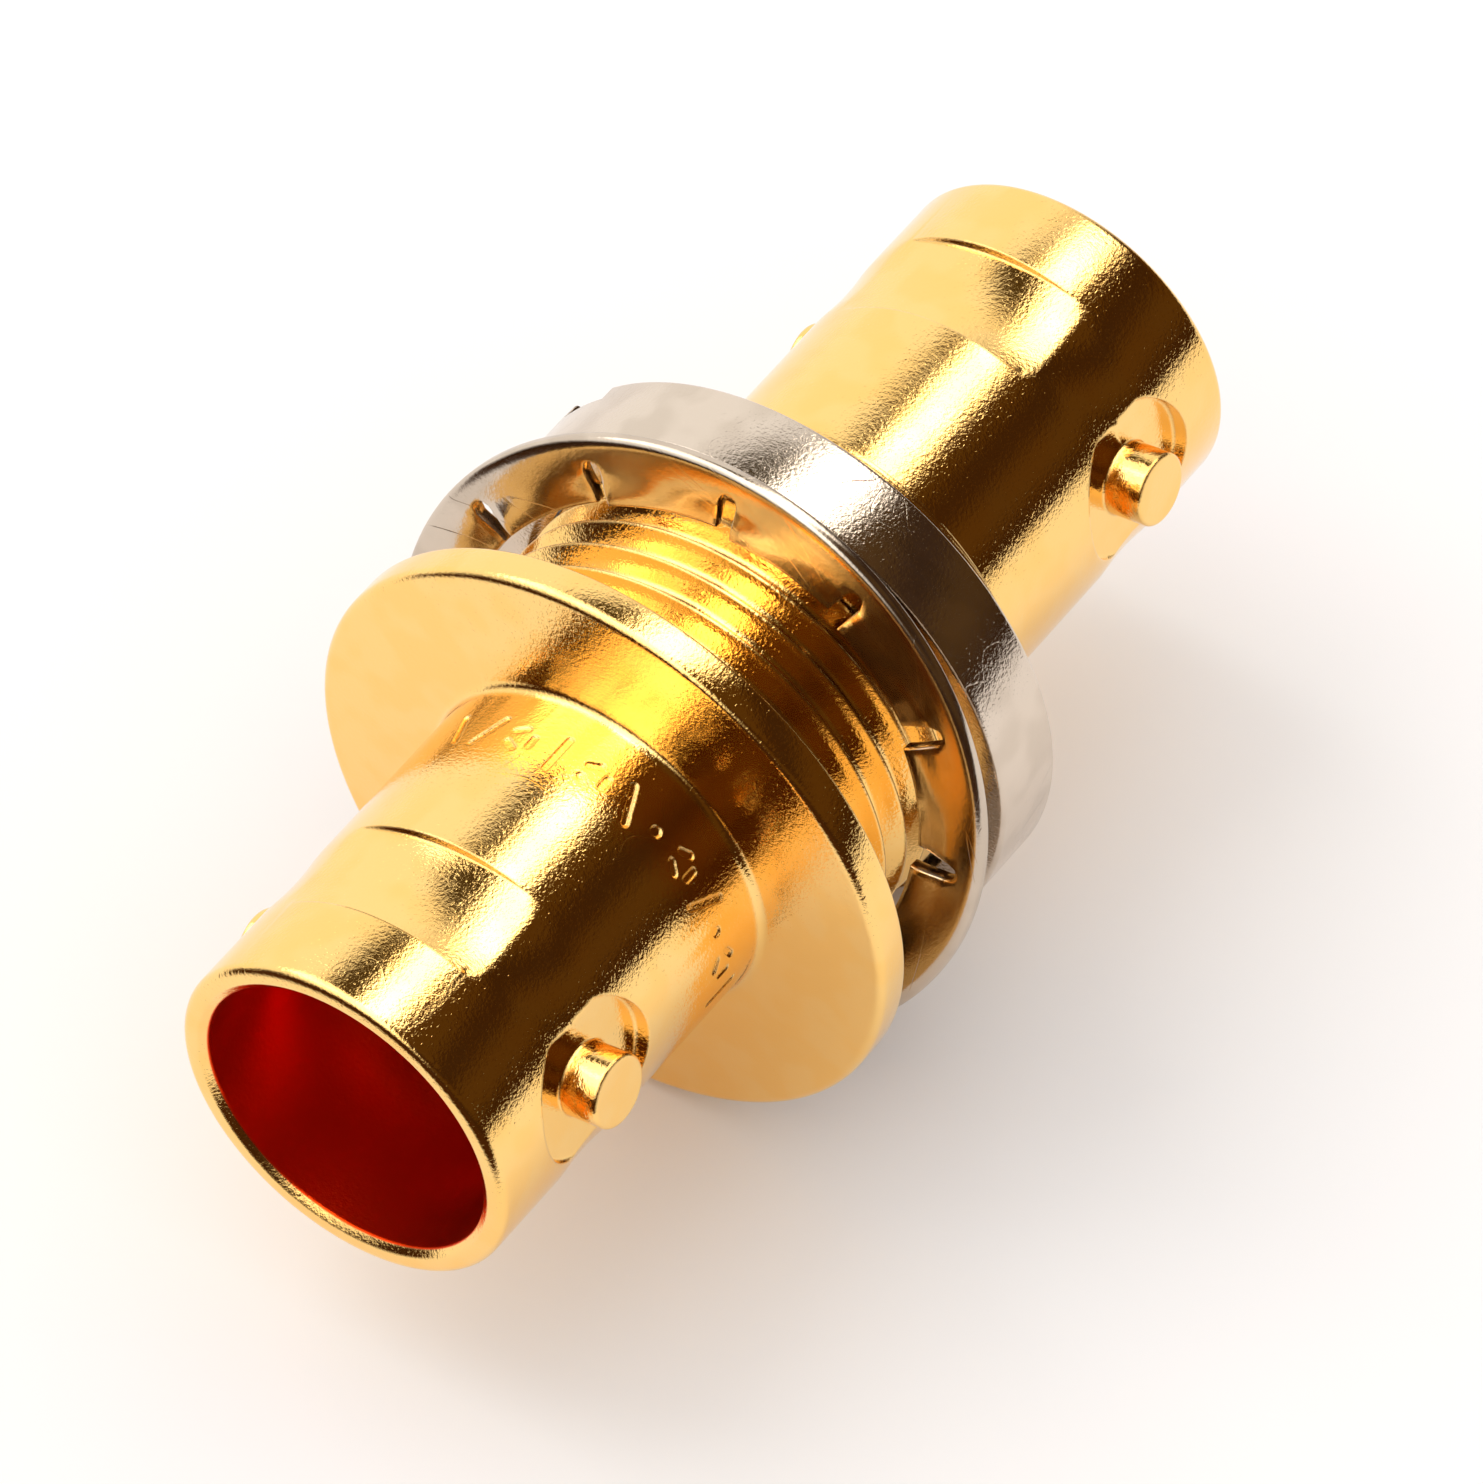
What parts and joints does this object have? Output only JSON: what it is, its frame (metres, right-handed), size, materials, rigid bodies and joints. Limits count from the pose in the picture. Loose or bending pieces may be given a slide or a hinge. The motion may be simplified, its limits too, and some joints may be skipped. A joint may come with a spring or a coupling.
{
  "type": "bnc connector",
  "caption": "Gold-plated coaxial bulkhead adapter: an open bayonet socket at each end, round flange, threaded neck, loose toothed lock washer and round ring nut.",
  "frame": {"origin": "centre of the rear socket's rim, on the adapter's axis, where it stands", "axes": "+Z along the axis from the rear socket to the front socket, X through the bayonet lugs, Y across them"},
  "size_m": [0.017, 0.0168, 0.0314],
  "materials": {
    "gold_plating": "bright gold plating over turned brass, with a fine grain and a few handling marks",
    "nickel_washer": "bright nickel-plated spring metal with stamped edges",
    "nickel_nut": "satin nickel plating over turned metal, with fine marks around the rim",
    "insulator": "smooth white fluoropolymer"
  },
  "bodies": {
    "shell": {"front_shell": "gold_plating", "rear_shell": "gold_plating", "front_insulator": "insulator", "rear_insulator": "insulator", "centre_contact": "gold_plating"},
    "washer": {"lock_washer": "nickel_washer"},
    "nut": {"ring_nut": "nickel_nut"}
  },
  "joints": [
    {"name": "washer_slide", "type": "slide", "parent": "shell", "child": "washer", "axis": [0, 0, 1], "range_m": [-0.00144, 0.00084]},
    {"name": "nut_turn", "type": "hinge", "parent": "washer", "child": "nut", "pos_m": [0, 0, 0.0134], "axis": [0, 0, 1], "range_deg": [-570, 330]}
  ],
  "couplings": [
    {"joint": "washer_slide", "follows": "nut_turn", "m_per_rad": 0.00014435}
  ]
}
